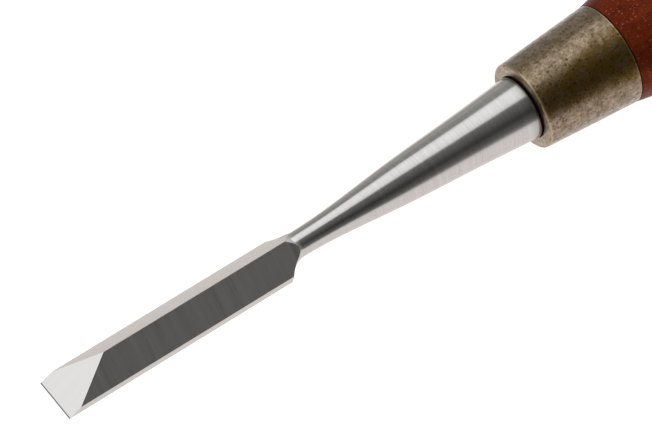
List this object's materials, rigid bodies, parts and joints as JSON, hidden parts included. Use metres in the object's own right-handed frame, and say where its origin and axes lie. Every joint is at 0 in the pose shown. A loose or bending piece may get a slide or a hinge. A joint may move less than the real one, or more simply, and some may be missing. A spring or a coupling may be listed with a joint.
{
  "type": "ridged bench chisel",
  "caption": "Bench chisel with a triangular-section ground blade, round tapered neck, tapered brass ferrule and turned wooden handle.",
  "frame": {"origin": "middle of the cutting edge, on the flat back of the blade", "axes": "+X along the tool from the handle to the cutting edge, +Z out of the bevelled side away from the flat back, Y across the blade's width"},
  "size_m": [0.2733, 0.0328, 0.0328],
  "materials": {
    "ground_steel": "fine-ground, polished at the bevel",
    "washer_leather": "dark, compressed",
    "aged_brass": "antique, mottled brown and olive patina",
    "red_hardwood": "satin oil, reddish brown with fine pores"
  },
  "bodies": {
    "root": {"blade": "ground_steel", "leather_washer": "washer_leather", "ferrule": "aged_brass", "handle": "red_hardwood"}
  },
  "joints": []
}
